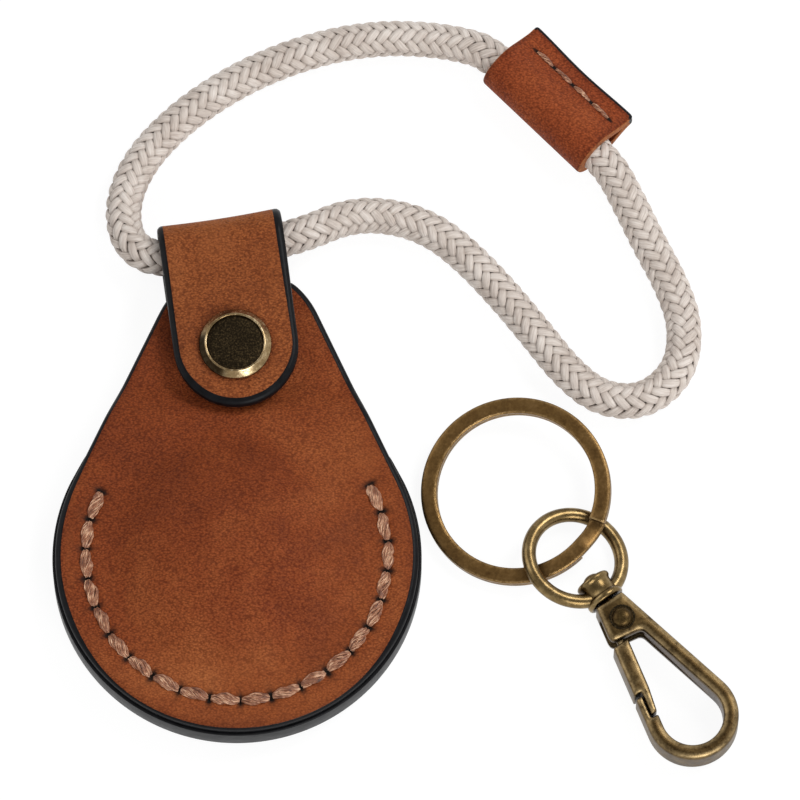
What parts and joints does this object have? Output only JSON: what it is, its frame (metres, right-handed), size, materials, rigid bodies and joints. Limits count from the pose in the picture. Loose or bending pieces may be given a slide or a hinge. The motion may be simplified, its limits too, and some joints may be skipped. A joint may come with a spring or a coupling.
{
  "type": "tracker tag holder",
  "caption": "Leather drop-shaped holder for a round tracker tag, closed by a snap strap that holds a braided wrist cord, with a loose swivel snap hook on a split key ring.",
  "frame": {"origin": "on the resting face of the back panel, under the middle of the tag pocket", "axes": "+X to the right of the case, towards the clip; +Y from the pocket towards the strap fold; +Z out of the front"},
  "size_m": [0.0946, 0.1079, 0.0114],
  "materials": {
    "panel_leather": "smooth oiled brown hide",
    "strap_leather": "smooth oiled brown hide, slightly lighter",
    "sleeve_leather": "smooth oiled reddish brown hide",
    "edge_leather": "black painted edge, satin",
    "waxed_thread": "flat waxed thread, tan",
    "braided_cord": "tight herringbone braid, beige grey",
    "antique_brass": "aged, dark in the hollows and bright on the edges",
    "spring_wire": "drawn wire"
  },
  "bodies": {
    "case": {"back_panel": "panel_leather", "welt": "edge_leather", "front_panel": "panel_leather", "strap_fold": "strap_leather", "seam_thread": "waxed_thread", "wrist_cord": "braided_cord", "cord_sleeve": "sleeve_leather", "sleeve_thread": "waxed_thread"},
    "lip": {"front_lip": "panel_leather", "snap_stud": "antique_brass", "snap_post": "antique_brass"},
    "flap": {"strap_flap": "strap_leather", "snap_cap": "antique_brass", "snap_socket": "antique_brass", "snap_springs": "spring_wire"},
    "clasp": {"clasp_hook": "antique_brass", "gate_rivet": "antique_brass", "swivel_rivet": "antique_brass", "gate_spring": "spring_wire"},
    "gate": {"clasp_gate": "antique_brass"},
    "eye": {"swivel_eye": "antique_brass"},
    "ring": {"split_ring": "antique_brass"}
  },
  "joints": [
    {"name": "flap_hinge", "type": "hinge", "parent": "case", "child": "flap", "pos_m": [-0.00246, 0.04505, 0.0046], "axis": [-0.9903, -0.1392, 0], "range_deg": [0, 150], "deforming": ["strap_fold", "snap_springs"]},
    {"name": "mouth_flex", "type": "hinge", "parent": "case", "child": "lip", "pos_m": [0, 0.01965, 0.0072], "axis": [1, 0, 0], "range_deg": [0, 25]},
    {"name": "clasp_lift", "type": "slide", "parent": "case", "child": "clasp", "axis": [0, 0, 1], "range_m": [0, 0.06]},
    {"name": "gate_pivot", "type": "hinge", "parent": "clasp", "child": "gate", "pos_m": [0.05313, -0.00848, 0.0028], "axis": [0, 0, 1], "range_deg": [0, 25], "stiffness_Nm_per_rad": 0.02, "springref_deg": -20.05, "deforming": ["gate_spring"]},
    {"name": "swivel", "type": "hinge", "parent": "clasp", "child": "eye", "pos_m": [0.0513, -0.00585, 0.0028], "axis": [0.5707, -0.8211, 0], "continuous": true},
    {"name": "ring_turn", "type": "hinge", "parent": "eye", "child": "ring", "pos_m": [0.0386, 0.01035, 0.0027], "axis": [-0.1132, -0.0693, 0.9912], "continuous": true}
  ],
  "couplings": [
    {"joint": "mouth_flex", "follows": "flap_hinge", "ratio": 0.13333}
  ]
}
